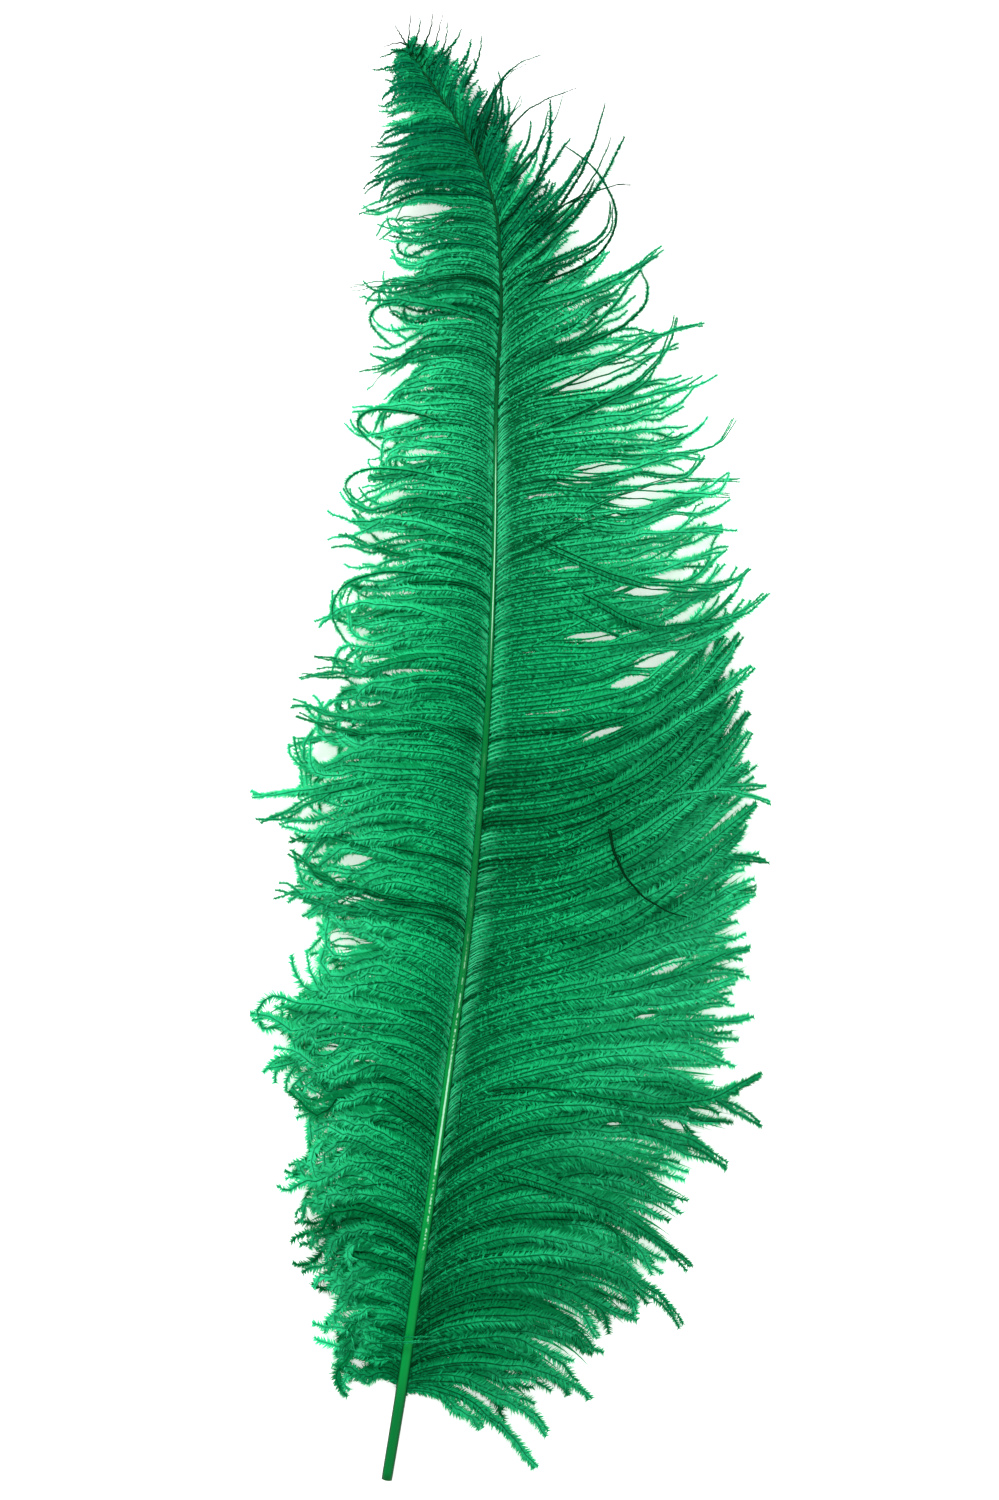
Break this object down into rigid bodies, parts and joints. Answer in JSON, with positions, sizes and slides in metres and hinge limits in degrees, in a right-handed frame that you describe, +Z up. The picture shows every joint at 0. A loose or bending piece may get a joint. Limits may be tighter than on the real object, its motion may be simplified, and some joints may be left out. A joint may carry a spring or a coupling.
{
  "type": "ostrich wing plume",
  "caption": "Dyed green ostrich wing plume lying flat: a bare quill end, a long curved quill and two soft fringed vanes of loose barbs that droop to the surface.",
  "frame": {"origin": "on the surface that the plume lies on, under the middle of its outline", "axes": "+Y along the plume from the cut quill end to the tip, +Z up, so the plume lies face up on the XY plane"},
  "size_m": [0.2138, 0.601, 0.02],
  "materials": {
    "dyed_plume": "satin"
  },
  "bodies": {
    "root": {"plume": "dyed_plume"}
  },
  "joints": []
}
